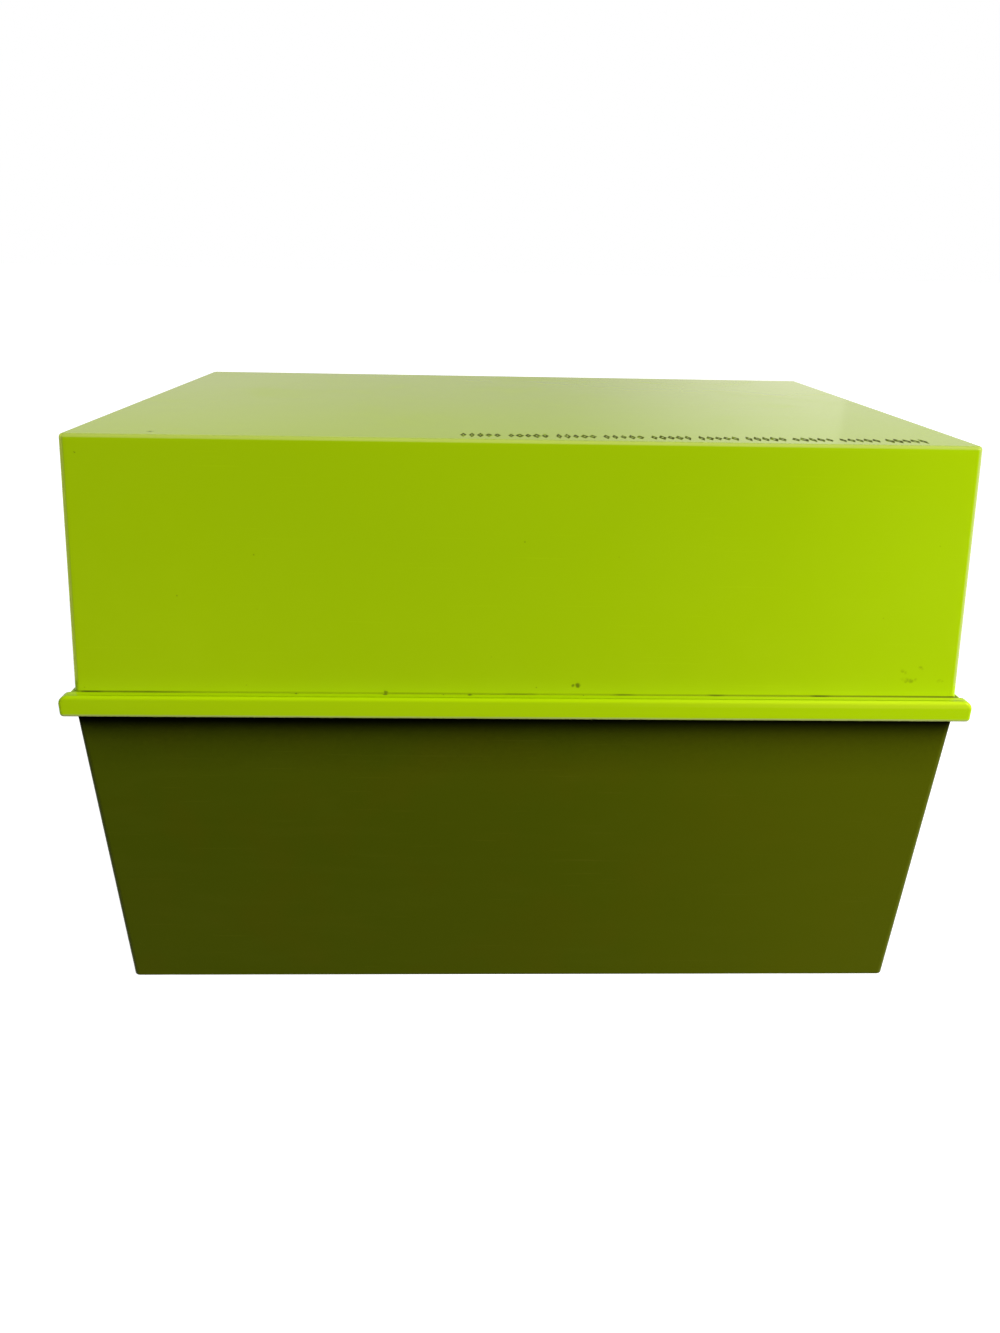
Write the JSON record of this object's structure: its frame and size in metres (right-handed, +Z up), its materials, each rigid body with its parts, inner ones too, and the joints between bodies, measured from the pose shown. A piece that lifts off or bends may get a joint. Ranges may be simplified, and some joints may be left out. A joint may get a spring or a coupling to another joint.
{
  "type": "recipe box",
  "caption": "Hinged moulded plastic box for recipe cards: a drafted lid with a lip along its front over a plain base, on pin hinges, with tabbed index guides inside.",
  "frame": {"origin": "middle of the base's foot ring, on the surface the box stands on", "axes": "+Z up, +X along the box's long side to the right, and the front looks along -Y with the hinges at +Y"},
  "size_m": [0.1442, 0.1077, 0.096],
  "materials": {
    "base_plastic": "satin moulded",
    "lid_plastic": "polished moulded",
    "pin_steel": "drawn wire",
    "guide_card": "matte pressed card"
  },
  "bodies": {
    "base_body": {"base": "base_plastic", "hinge_pin_left": "pin_steel", "hinge_pin_right": "pin_steel"},
    "lid_body": {"lid": "lid_plastic"},
    "guide_set": {"index_guide_1": "guide_card", "index_guide_2": "guide_card", "index_guide_3": "guide_card", "index_guide_4": "guide_card", "index_guide_5": "guide_card", "index_guide_6": "guide_card"}
  },
  "joints": [
    {"name": "lid_hinge", "type": "hinge", "parent": "base_body", "child": "lid_body", "pos_m": [0, 0.0528, 0.053], "axis": [-1, 0, 0], "range_deg": [0, 105]},
    {"name": "guides_tilt", "type": "hinge", "parent": "base_body", "child": "guide_set", "pos_m": [0, 0.03915, 0.0029], "axis": [-1, 0, 0], "range_deg": [-25, 0]}
  ]
}
